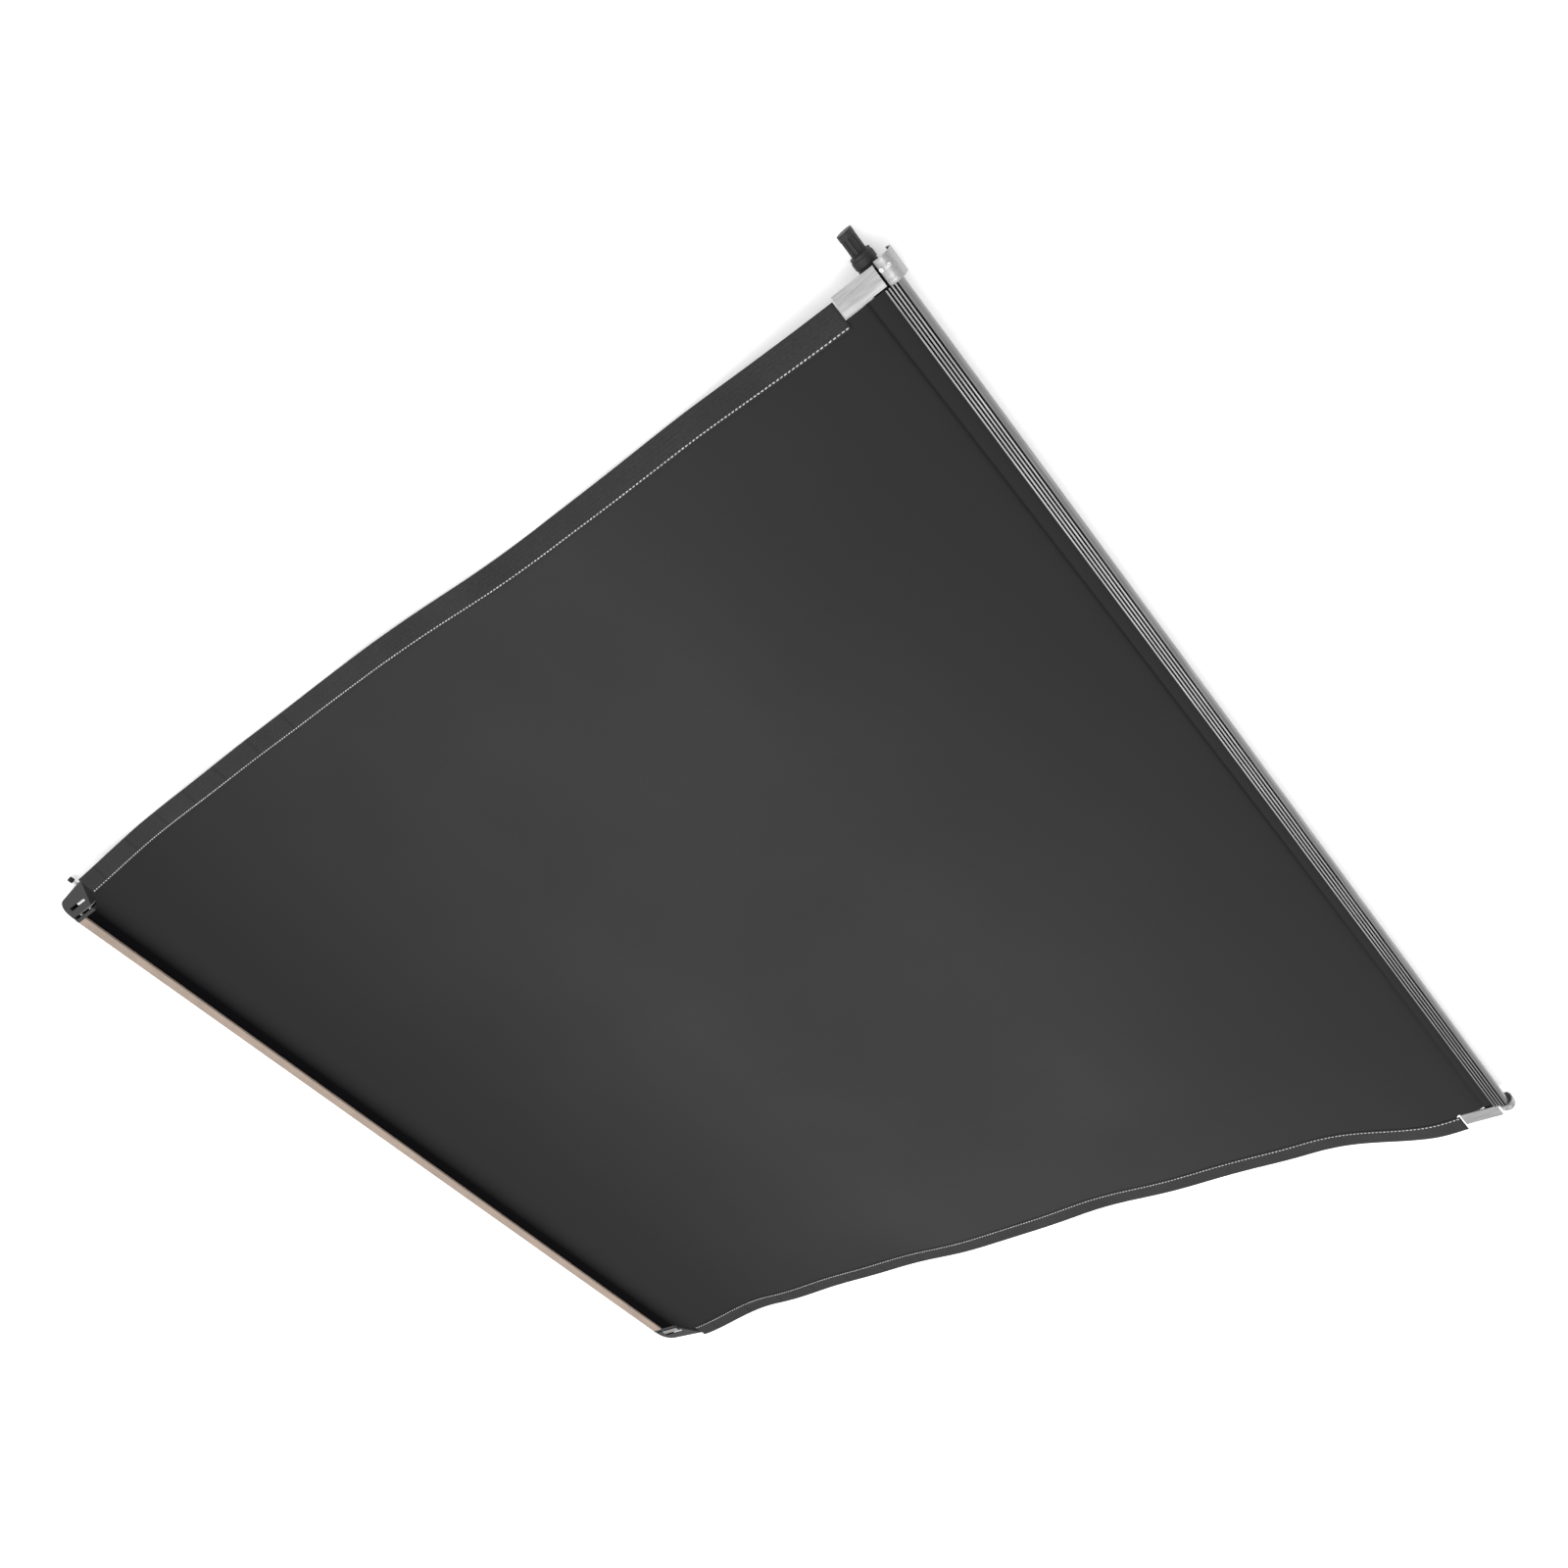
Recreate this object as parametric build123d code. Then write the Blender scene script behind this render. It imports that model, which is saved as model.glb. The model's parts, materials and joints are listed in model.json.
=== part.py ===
from build123d import *
import os
from math import cos, pi, radians, sin, tan

# Soft roll-up tonneau cover for a pickup bed, lying flat as it is unpacked.
# X runs across the bed, +Y points to the cab, +Z is up and the floor is z = 0.
# The header rail is at +Y and the rear bar at -Y.  Everything is in millimetres.
# Pieces are drawn about the middle of the sheet and moved at the end, so that
# the origin is the middle of the whole cover's footprint, on the floor.

# ---- driving dimensions ----------------------------------------------------
SHEET_WIDTH = 1484.0        # between the two rows of hem stitching
TAPE_WIDTH = 33.0           # hook-and-loop tape sewn along each side
SHEET_T = 1.5
TAPE_T = 3.0
HEADER_Y = 854.7            # where the sheet goes under the first lip
REAR_Y = -845.0             # front face of the rear bar
HEADER_LENGTH = 1482.0
REAR_BAR_LENGTH = 1454.0
RAIL_WALL = 2.5
FOAM_T = 3.0
FOAM_U = (-12.0, 6.0)
TONGUE_U = (-13.0, 1.9)     # level front edge of the sheet, under the first lip
BEAD_INSET = 3.0
REAR_BEAD_INSET = 4.0

# sheet: height of its underside along the cover
SHEET_FLOOR_Z = 0.5
HEADER_LEDGE_Z = 32.7
REAR_TOP_Z = 34.2
FRONT_SLOPE = (790.0, 560.0)
REAR_SLOPE = (-600.0, REAR_Y + 4.0)
SLOPE_STEPS = 10

# roll: hinge lines across the sheet, from the front one to the rear bar's
ROLL_HINGES = 7
ROLL_PITCH = 90.0
LAST_HINGE_Y = -805.0
HINGE_GAP = 2.4

# header rail section, measured from HEADER_Y (u) and from the floor (z)
HEADER_BACK_U = -18.0
HEADER_TOP_Z = 40.0
LIP_T = 1.7
LIP_PITCH = 3.9
LIP_COUNT = 4
GROOVE_DEPTH = 3.8
NOSE_U = 13.0               # centre of the rounded top of the front
NOSE_Z = 32.0
NOSE_R = 8.0
FRONT_LEAN = 25.0           # degrees that the front leans back below the nose
BEAD_R = 2.9
CHANNEL_R = 3.2
CHANNEL_U = 5.2
CHANNEL_Z = 31.6
CAVITY_TOP_Z = 26.4
LEDGE_GAP = 0.2             # between the sheet and what it lies on

# spring pin in the left end of the header, and its moulded end block
PIN_U = -5.0
PIN_Z = 16.0
PIN_TIP_R = 9.0             # smooth land that enters the side rail
PIN_TIP_LENGTH = 7.0
PIN_R = 8.6                 # fluted body that slides in the collar
PIN_SHANK_R = 5.0
PIN_HEAD_R = 7.4
PIN_REACH = 67.0            # tip, from the end of the header rail
PIN_BODY_DEPTH = 15.0       # how far the body, shank and head go into the collar
PIN_SHANK_DEPTH = 35.3
PIN_HEAD_DEPTH = 40.3
PIN_TRAVEL = 14.0
PIN_CHAMBER_END = 41.0      # inner end of the spring's chamber, past the rail's end
PIN_COIL_R = 6.2
PIN_WIRE_R = 0.8
PIN_COIL_TURNS = 9
RUNNING_CLEARANCE = 0.05
COLLAR_R = 12.0
COLLAR_REACH = 41.0
NOSE_REACH = 10.0           # the right end's short collar, up to its dome
COLLAR_RING_R = 13.0
COLLAR_RING = (4.0, 12.0)   # from the collar's mouth
FLUTES = 10
FLUTE_R = 1.3
PLUG_LENGTH = 46.0
PLUG_TOP_Z = 26.2
PLUG_GAP = 0.3
PAD_LENGTH = 22.0
PAD_U = (-16.0, -4.0)
PAD_TOP_Z = 28.4

# sleeve on the round core of the end block, past the rail's end
SLEEVE_U = 14.4
SLEEVE_Z = 28.0
SLEEVE_R = 13.0
SLEEVE_BORE_R = 11.15
SLEEVE_CORE_R = 11.0
SLEEVE_CORE_SUNK = 6.0      # core's end, inside the sleeve's mouth
SLEEVE_END_GAP = 0.3
SLEEVE_REACH = (30.0, 12.0) # at the left and right ends of the header
SLEEVE_ARC = (-60.0, 125.0)
SLEEVE_SCREW_R = 1.5
SLEEVE_HEAD_R = 2.4
SLEEVE_HEAD_T = 1.8
SLEEVE_SCREW_TILT = 19.0    # degrees each side of upright
SLEEVE_SCREW_SUNK = 7.5     # screws, from the core's end
CROSS_RECESS = (1.5, 0.4)   # half length and half width of its slots
BLOCK_SCREW_Z = 9.0
BLOCK_SCREW_R = 2.0
BLOCK_SCREW_DEPTH = 5.5
BLOCK_HEAD_R = 3.6
BLOCK_HEAD_T = 1.6

# side plates beside the header's ends
PLATE_T = 2.0
PLATE_X = (743.0, 768.0)
PLATE_U = (-50.0, 3.2)
PLATE_RIM = 6.0
PLATE_TOP_Z = 36.0
PLATE_FALL = 1.2
SPACER_X = (4.0, 20.0)      # from the rail's end outwards
SPACER_U = (-15.0, -5.0)

# rear bar section, measured back from REAR_Y (v)
BAR_DEPTH = 60.0
BAR_TOP_Z = 34.0
BAR_FRONT_R = 9.0
SLIT_V = (33.0, 35.2)
REAR_CHANNEL_Z = 26.5
BAR_WEB_Z = 20.5
UPPER_CAVITY_V = ((8.0, 28.0), (39.5, 57.5))
CAP_SCREW_V = (18.0, 48.5)
CAP_SCREW_Z = 27.2
CAP_SCREW_R = 1.6
CAP_HEAD_R = 3.5
CAP_HEAD_T = 1.8
SCREW_PORT_R = 4.6
STRIP_V = (36.5, 59.5)
STRIP_T = 4.0

# rear corner caps and latches
CAP_COLLAR_X = (727.2, 733.0)
CAP_LOBE_X = (738.0, 773.0)
CAP_V = (-2.0, 62.0)
CAP_EAR_X = 779.0           # the cap's front slants out to here
CAP_EAR_V = -37.0
CAP_INNER_Z = 36.0
CAP_OUTER_Z = 33.0
CAP_CORNER_R = 26.0
CAP_COLLAR_Z = 37.2
RECESS_TOP_Z = 16.0
REAR_WEB = 5.0              # wall that closes the recess at the back
CAP_PLUG_LENGTH = 40.0
CAP_PLUG_GAP = 0.3
SLOT_X = (749.0, 755.0)
SLOT_V = (-4.0, 46.0)
LATCH_TRAVEL = 12.0
LATCH_V = (-2.0, 22.0)
BLADE_T = 4.0
CHAMBER_X = (744.5, 763.0)
CHAMBER_V = (-3.0, 50.0)
CHAMBER_Z = (4.0, 12.0)
LATCH_SLACK = 0.2
BLADE_SUNK = 0.8            # top of the blade, below the cap's top
ROD_R = 2.0
ROD_BALL_R = 3.2
ROD_REACH = 42.0
FINGER_V = (13.0, 18.0)
FINGER_Z = (6.0, 10.0)
FINGER_SIDE_GAP = 1.0
FINGER_TOP_GAP = 0.6
FINGER_TIP_X = 789.0
PAD_LAP = 7.0
PAD_OVERHANG = 2.0
PAD_R = 4.4
LATCH_COIL_R = 2.6
LATCH_WIRE_R = 0.5
LATCH_COIL_TURNS = 6
LATCH_PLATE_V = (1.0, 55.0)
LATCH_PLATE_TOP_Z = 30.0
FLANGE_V = (0.0, 42.0)      # the right latch plate folds over its lobe here
FLANGE_END_X = 746.0
FLANGE_Z = (36.2, 37.4)

# ---- worked-out values -------------------------------------------------------
half_sheet = SHEET_WIDTH / 2
half_header = HEADER_LENGTH / 2
half_bar = REAR_BAR_LENGTH / 2
tape_x = (half_sheet + 0.3, half_sheet + TAPE_WIDTH)
hinge_ys = [LAST_HINGE_Y + ROLL_PITCH * (ROLL_HINGES - 1 - n) for n in range(ROLL_HINGES)]
pin_y = HEADER_Y + PIN_U
nose_y = HEADER_Y + NOSE_U
sleeve_y = HEADER_Y + SLEEVE_U
left_reach = half_header + PIN_REACH
right_reach = FINGER_TIP_X + PAD_OVERHANG
front_reach = sleeve_y + SLEEVE_R
rear_reach = -(REAR_Y - CAP_V[1])
rail_back = HEADER_Y + HEADER_BACK_U
pin_mouth = -half_header - COLLAR_REACH
bar_back = REAR_Y - BAR_DEPTH
slot_mid = -sum(SLOT_X) / 2
chamber_mid_z = sum(CHAMBER_Z) / 2
cap_fall = (CAP_INNER_Z - CAP_OUTER_Z) / (CAP_EAR_X - CAP_LOBE_X[0])
blade_top_z = CAP_INNER_Z + (slot_mid + CAP_LOBE_X[0]) * cap_fall - BLADE_SUNK
sleeve_seat_z = SLEEVE_Z + SLEEVE_R - 0.4
block_screw_xs = (-half_header + 12, -half_header + 34)
shift = ((left_reach - right_reach) / 2, (rear_reach - front_reach) / 2, 0)


# ---- shape helpers -------------------------------------------------------------
def block(x, y, z):
    """A box between two corners, each axis given as a (low, high) pair."""
    size = [abs(b - a) for a, b in (x, y, z)]
    middle = [(a + b) / 2 for a, b in (x, y, z)]
    return Pos(*middle) * Box(*size)


def rod_x(radius, x0, x1, y, z):
    length = abs(x1 - x0)
    return Pos((x0 + x1) / 2, y, z) * Rotation(0, 90, 0) * Cylinder(radius, length)


def rod_y(radius, x, y0, y1, z):
    length = abs(y1 - y0)
    return Pos(x, (y0 + y1) / 2, z) * Rotation(90, 0, 0) * Cylinder(radius, length)


def rod_z(radius, x, y, z0, z1):
    return Pos(x, y, (z0 + z1) / 2) * Cylinder(radius, abs(z1 - z0))


def along_x(outline, x0, x1):
    """A closed outline of (y, z) lines and arcs, carried from x0 to x1."""
    face = Plane.YZ.offset(x0) * make_face(outline)
    return extrude(face, amount=x1 - x0, dir=(1, 0, 0))


def loop(points):
    return Polyline(*points, close=True)


def both_sides(left_piece):
    return [left_piece, mirror(left_piece, about=Plane.YZ)]


def save(name, *solids):
    """Write one node, moved to the cover's own origin."""
    moved = [Pos(*shift) * solid for solid in solids]
    piece = moved[0] if len(moved) == 1 else Compound(children=moved)
    piece.label = name
    export_step(piece, f"parts/{name}.step")


# ---- the sheet and its tapes -----------------------------------------------------
def smooth(t):
    t = min(max(t, 0.0), 1.0)
    return t * t * (3 - 2 * t)


def sheet_z(y):
    """Underside of the sheet: up on both rails and down on the floor between."""
    front = smooth((y - FRONT_SLOPE[1]) / (FRONT_SLOPE[0] - FRONT_SLOPE[1]))
    rear = smooth((y - REAR_SLOPE[0]) / (REAR_SLOPE[1] - REAR_SLOPE[0]))
    lift_front = front * (HEADER_LEDGE_Z - SHEET_FLOOR_Z)
    lift_rear = rear * (REAR_TOP_Z - SHEET_FLOOR_Z)
    return SHEET_FLOOR_Z + lift_front + lift_rear


def stations(y0, y1):
    """Places along the cover where a strip from y0 to y1 needs a corner."""
    ends = sorted((y0, y1))
    marks = []
    for top, foot in (FRONT_SLOPE, REAR_SLOPE):
        marks += [foot + (top - foot) * n / SLOPE_STEPS for n in range(SLOPE_STEPS + 1)]
    inside = [y for y in marks if ends[0] + 1 < y < ends[1] - 1]
    return [ends[0]] + sorted(inside) + [ends[1]]


def strip(x, y, thickness, drop=0.0):
    """Part of the sheet or of a tape, following the lie of the cover."""
    ys = stations(*y)
    under = [(at, sheet_z(at) - drop) for at in ys]
    over = [(at, z + thickness) for at, z in reversed(under)]
    return along_x(loop(under + over), x[0], x[1])


def sheet_spans():
    """Y range of each part of the sheet between hinge lines, front to rear."""
    half = HINGE_GAP / 2
    fronts = [HEADER_Y + 0.4] + [y - half for y in hinge_ys]
    rears = [y + half for y in hinge_ys] + [REAR_Y - SLIT_V[0]]
    return list(zip(rears, fronts))


def tape_pair(y):
    left = strip((-tape_x[1], -tape_x[0]), y, TAPE_T, drop=SHEET_FLOOR_Z)
    return both_sides(left)


def make_sheet():
    """Every part of the sheet and of the tapes, apart from the sheet's rear end."""
    spans = sheet_spans()
    tongue_y = (HEADER_Y + TONGUE_U[0], HEADER_Y + TONGUE_U[1])
    front = strip((-half_sheet, half_sheet), (spans[0][0], tongue_y[0]), SHEET_T)
    tongue_x = (-half_header + BEAD_INSET, half_header - BEAD_INSET)
    tongue = block(tongue_x, tongue_y, (HEADER_LEDGE_Z, HEADER_LEDGE_Z + SHEET_T))
    save("cover_sheet_front", front + tongue)
    tape_front = HEADER_Y + PLATE_U[0] - 1.5
    save("side_tapes_front", *tape_pair((spans[0][0], tape_front)))
    for number, span in enumerate(spans[1:-1], start=1):
        save(f"cover_sheet_roll_{number}", strip((-half_sheet, half_sheet), span, SHEET_T))
        save(f"side_tapes_roll_{number}", *tape_pair(span))


# ---- header ------------------------------------------------------------------------
def front_face(z, inset=0.0):
    """Y of the leaning front face at a height, or of a line inset behind it."""
    lean = radians(FRONT_LEAN)
    below_arc = NOSE_Z - NOSE_R * sin(lean) - z
    return nose_y + NOSE_R * cos(lean) - below_arc * tan(lean) - inset / cos(lean)


def header_section():
    """Rear ledge, grooved top, rounded nose and leaning front of the header rail."""
    ledge = HEADER_LEDGE_Z - LEDGE_GAP
    arc_end_z = NOSE_Z - NOSE_R * sin(radians(FRONT_LEAN))
    arc = CenterArc((nose_y, NOSE_Z), NOSE_R, -FRONT_LEAN, 90 + FRONT_LEAN)
    lines = Polyline((front_face(arc_end_z), arc_end_z), (front_face(FOAM_T), FOAM_T), (rail_back, FOAM_T),
                     (rail_back, ledge), (HEADER_Y, ledge), (HEADER_Y, HEADER_TOP_Z), (nose_y, HEADER_TOP_Z))
    return make_face(Curve() + [arc, lines])


def hollow_outline(gap=0.0):
    """The rail's one hollow, or the outline of what slides into it with a gap."""
    low = FOAM_T + RAIL_WALL + gap
    high = CAVITY_TOP_Z - gap
    back = rail_back + RAIL_WALL + gap
    inset = RAIL_WALL + gap
    return loop([(back, low), (front_face(low, inset), low), (front_face(high, inset), high), (back, high)])


def header_cuts():
    """Bead channel with its slit, and the grooves between the lips."""
    channel = Pos(HEADER_Y + CHANNEL_U, CHANNEL_Z) * Circle(CHANNEL_R)
    slit_z = (HEADER_LEDGE_Z - LEDGE_GAP, HEADER_LEDGE_Z + SHEET_T + LEDGE_GAP)
    slit_u = (-0.1, CHANNEL_U - 2)
    slit_middle = Pos(HEADER_Y + sum(slit_u) / 2, sum(slit_z) / 2)
    cuts = [channel + slit_middle * Rectangle(slit_u[1] - slit_u[0], slit_z[1] - slit_z[0])]
    groove = LIP_PITCH - LIP_T
    for n in range(LIP_COUNT):
        u = LIP_T + groove / 2 + n * LIP_PITCH
        cuts.append(Pos(HEADER_Y + u, HEADER_TOP_Z) * Rectangle(groove, 2 * GROOVE_DEPTH))
    return cuts


def make_header_rail():
    section = header_section() - make_face(hollow_outline())
    for hole in header_cuts():
        section -= hole
    face = Plane.YZ.offset(-half_header) * section
    rail = extrude(face, amount=HEADER_LENGTH, dir=(1, 0, 0))
    for x in block_screw_xs:
        for hole in both_sides(block_screw_shank(x)):
            rail -= hole
    save("header_rail", rail)


def make_header_inserts():
    """Cord that the sheet's front edge is sewn round, and the seal under the rail."""
    bead_end = half_header - BEAD_INSET
    bead = rod_x(BEAD_R, -bead_end, bead_end, HEADER_Y + CHANNEL_U, CHANNEL_Z)
    sheet_room = block((-half_header, half_header), (HEADER_Y, HEADER_Y + TONGUE_U[1]), (30, 36))
    save("header_bead", bead - sheet_room)
    foam_y = (HEADER_Y + FOAM_U[0], HEADER_Y + FOAM_U[1])
    save("header_foam_seal", block((-half_header, half_header), foam_y, (0, FOAM_T)))


def end_block_left(with_pin):
    """Moulded block: plugs into the rail, carries the collar and the sleeve's core."""
    end = -half_header
    mouth = pin_mouth if with_pin else end - NOSE_REACH
    core_reach = core_length(SLEEVE_REACH[0 if with_pin else 1])
    body = along_x(hollow_outline(PLUG_GAP), end - 1, end + PLUG_LENGTH)
    body += rod_x(COLLAR_R, mouth, end, pin_y, PIN_Z)
    body += block((end - PAD_LENGTH, end), (HEADER_Y + PAD_U[0], HEADER_Y + PAD_U[1]), (PIN_Z, PAD_TOP_Z))
    body += rod_x(SLEEVE_CORE_R, end - core_reach, end, sleeve_y, SLEEVE_Z)
    if not with_pin:
        nose = Pos(mouth, pin_y, PIN_Z) * Sphere(COLLAR_R)
        outer_half = block((mouth - 20, mouth), (pin_y - 20, pin_y + 20), (0, 40))
        return body + (nose & outer_half)
    body += rod_x(COLLAR_RING_R, mouth + COLLAR_RING[0], mouth + COLLAR_RING[1], pin_y, PIN_Z)
    body_end = pin_mouth + 2 * PIN_BODY_DEPTH
    shank_end = pin_mouth + PIN_SHANK_DEPTH
    body -= rod_x(PIN_R + RUNNING_CLEARANCE, pin_mouth - 1, body_end, pin_y, PIN_Z)
    body -= rod_x(PIN_SHANK_R + RUNNING_CLEARANCE, body_end - 1, shank_end, pin_y, PIN_Z)
    body -= rod_x(PIN_HEAD_R + 0.6, shank_end - 0.3, end + PIN_CHAMBER_END, pin_y, PIN_Z)
    return body


def make_spring_pin():
    """Fluted pin with its shank and retaining head, pushed out by a coil spring."""
    tip = -half_header - PIN_REACH
    head_end = pin_mouth + PIN_HEAD_DEPTH
    pin = rod_x(PIN_R, tip + PIN_TIP_LENGTH, pin_mouth + PIN_BODY_DEPTH, pin_y, PIN_Z)
    for n in range(FLUTES):
        turn = 2 * pi * n / FLUTES
        flute_y = pin_y + PIN_R * cos(turn)
        flute_z = PIN_Z + PIN_R * sin(turn)
        pin -= rod_x(FLUTE_R, tip + PIN_TIP_LENGTH - 1, pin_mouth - 2, flute_y, flute_z)
    pin += rod_x(PIN_TIP_R, tip, tip + PIN_TIP_LENGTH, pin_y, PIN_Z)
    pin += rod_x(PIN_SHANK_R, pin_mouth + PIN_BODY_DEPTH, pin_mouth + PIN_SHANK_DEPTH, pin_y, PIN_Z)
    pin += rod_x(PIN_HEAD_R, pin_mouth + PIN_SHANK_DEPTH, head_end, pin_y, PIN_Z)
    save("header_spring_pin", pin)
    room = -half_header + PIN_CHAMBER_END - head_end
    coil = spring(PIN_COIL_R, PIN_WIRE_R, room - 2 * PIN_WIRE_R, PIN_COIL_TURNS)
    save("header_pin_spring", Pos(head_end + PIN_WIRE_R, pin_y, PIN_Z) * Rotation(0, 90, 0) * coil)


def spring(radius, wire, length, turns):
    """Coil spring standing on z = 0 along +Z."""
    path = Helix(pitch=length / turns, height=length, radius=radius)
    start = Plane(origin=path @ 0, z_dir=path % 0)
    return sweep(start * Circle(wire), path=path)


def core_length(sleeve_reach):
    return max(sleeve_reach - SLEEVE_CORE_SUNK, SLEEVE_SCREW_SUNK + SLEEVE_HEAD_R)


def sleeve_screw_x(sleeve_reach):
    return -half_header - core_length(sleeve_reach) + SLEEVE_SCREW_SUNK - SLEEVE_HEAD_R


def sleeve_left(reach):
    """C-shaped metal sleeve round the core, its open side towards the sheet."""
    span = SLEEVE_ARC[1] - SLEEVE_ARC[0]
    outer = CenterArc((sleeve_y, SLEEVE_Z), SLEEVE_R, SLEEVE_ARC[0], span)
    inner = CenterArc((sleeve_y, SLEEVE_Z), SLEEVE_BORE_R, SLEEVE_ARC[0], span)
    sides = [Line(outer @ 0, inner @ 0), Line(outer @ 1, inner @ 1)]
    wall = Curve() + [outer, inner] + sides
    sleeve = along_x(wall, -half_header - reach, -half_header - SLEEVE_END_GAP)
    head_room = rod_z(SLEEVE_HEAD_R, sleeve_screw_x(reach), sleeve_y, sleeve_seat_z, sleeve_seat_z + 5)
    for head_seat in tilted_pair(head_room):
        sleeve -= head_seat
    for shank_hole in tilted_pair(sleeve_screw_shank(reach, sleeve_seat_z + 1)):
        sleeve -= shank_hole
    return sleeve


def tilted_pair(upright):
    """A piece turned both ways about the sleeve's axis."""
    sleeve_axis = Axis((0, sleeve_y, SLEEVE_Z), (1, 0, 0))
    return [upright.rotate(sleeve_axis, turn) for turn in (-SLEEVE_SCREW_TILT, SLEEVE_SCREW_TILT)]


def sleeve_screw_shank(reach, top=sleeve_seat_z):
    return rod_z(SLEEVE_SCREW_R, sleeve_screw_x(reach), sleeve_y, SLEEVE_Z + 5, top)


def sleeve_screws_left(reach):
    """Two pan-head screws through the sleeve into the end block's core."""
    x = sleeve_screw_x(reach)
    long, narrow = CROSS_RECESS
    head_top = sleeve_seat_z + SLEEVE_HEAD_T
    recess_z = (sleeve_seat_z + SLEEVE_HEAD_T / 2, head_top + 1)
    head = rod_z(SLEEVE_HEAD_R, x, sleeve_y, sleeve_seat_z, head_top)
    cross = block((x - long, x + long), (sleeve_y - narrow, sleeve_y + narrow), recess_z)
    cross += block((x - narrow, x + narrow), (sleeve_y - long, sleeve_y + long), recess_z)
    return tilted_pair(sleeve_screw_shank(reach) + head - cross)


def plate_top():
    """Top line of the left side plate: a level rim, then an apron that falls away."""
    rim = -PLATE_X[0] - PLATE_RIM
    return [(-PLATE_X[0], PLATE_TOP_Z), (rim, PLATE_TOP_Z), (-PLATE_X[1], PLATE_TOP_Z - PLATE_FALL)]


def along_y(points, y0, y1):
    """A closed outline of (x, z) points, carried from y0 to y1."""
    face = Plane.XZ.offset(-y0) * make_face(loop(points))
    return extrude(face, amount=y1 - y0, dir=(0, 1, 0))


def side_plate_left():
    """Folded plate beside the header's end."""
    underside = [(x, z - PLATE_T) for x, z in reversed(plate_top())]
    return along_y(plate_top() + underside, HEADER_Y + PLATE_U[0], HEADER_Y + PLATE_U[1])


def plate_spacer_left():
    """Rib that carries the side plate on the end block's pad."""
    x = (-half_header - SPACER_X[1], -half_header - SPACER_X[0])
    y = (HEADER_Y + SPACER_U[0], HEADER_Y + SPACER_U[1])
    post = block(x, y, (PAD_TOP_Z, PLATE_TOP_Z))
    underside = [(px, z - PLATE_T) for px, z in plate_top()]
    above = [(-PLATE_X[1], PLATE_TOP_Z + 5), (-half_header, PLATE_TOP_Z + 5)]
    above.append((-half_header, PLATE_TOP_Z - PLATE_T))
    return post - along_y(underside + above, y[0] - 1, y[1] + 1)


def block_screw_shank(x):
    return rod_y(BLOCK_SCREW_R, x, rail_back, rail_back + BLOCK_SCREW_DEPTH, BLOCK_SCREW_Z)


def block_screws_left():
    """Pan-head screws from the rail's rear face into the end block."""
    screws = []
    for x in block_screw_xs:
        head = rod_y(BLOCK_HEAD_R, x, rail_back - BLOCK_HEAD_T, rail_back, BLOCK_SCREW_Z)
        screws.append(head + block_screw_shank(x))
    return screws


def make_header_ends():
    screws = []
    for side, reach in zip(("left", "right"), SLEEVE_REACH):
        end_block = end_block_left(with_pin=side == "left")
        for hole in tilted_pair(sleeve_screw_shank(reach, sleeve_seat_z + 1)):
            end_block -= hole
        for screw_x in block_screw_xs:
            end_block -= block_screw_shank(screw_x)
        pieces = [end_block, sleeve_left(reach)] + sleeve_screws_left(reach)
        if side == "right":
            pieces = [mirror(piece, about=Plane.YZ) for piece in pieces]
        save(f"header_end_block_{side}", pieces[0])
        save(f"header_sleeve_{side}", pieces[1])
        screws += pieces[2:]
    save("sleeve_screws", *screws)
    for side, piece in zip(("left", "right"), both_sides(side_plate_left())):
        save(f"side_plate_{side}", piece)
    save("side_plate_spacers", *both_sides(plate_spacer_left()))
    save("end_block_screws", *[s for screw in block_screws_left() for s in both_sides(screw)])


# ---- rear bar -----------------------------------------------------------------------
def bar_cavities():
    """Main hollow for the cap's plug, and two upper ones round the screw ports."""
    main_y = (bar_back + RAIL_WALL, REAR_Y - RAIL_WALL)
    main = Pos(sum(main_y) / 2, (RAIL_WALL + BAR_WEB_Z) / 2)
    hollows = [main * Rectangle(main_y[1] - main_y[0], BAR_WEB_Z - RAIL_WALL)]
    upper_z = (BAR_WEB_Z + RAIL_WALL, BAR_TOP_Z - RAIL_WALL)
    for low_v, high_v in UPPER_CAVITY_V:
        middle = Pos(REAR_Y - (low_v + high_v) / 2, sum(upper_z) / 2)
        hollows.append(middle * Rectangle(high_v - low_v, upper_z[1] - upper_z[0]))
    for v in CAP_SCREW_V:
        port = Pos(REAR_Y - v, CAP_SCREW_Z) * Circle(SCREW_PORT_R)
        hollows = [hollow - port for hollow in hollows]
    return hollows


def cap_screw_shank(v):
    return rod_x(CAP_SCREW_R, -CAP_COLLAR_X[1], -half_bar + 12, REAR_Y - v, CAP_SCREW_Z)


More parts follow.
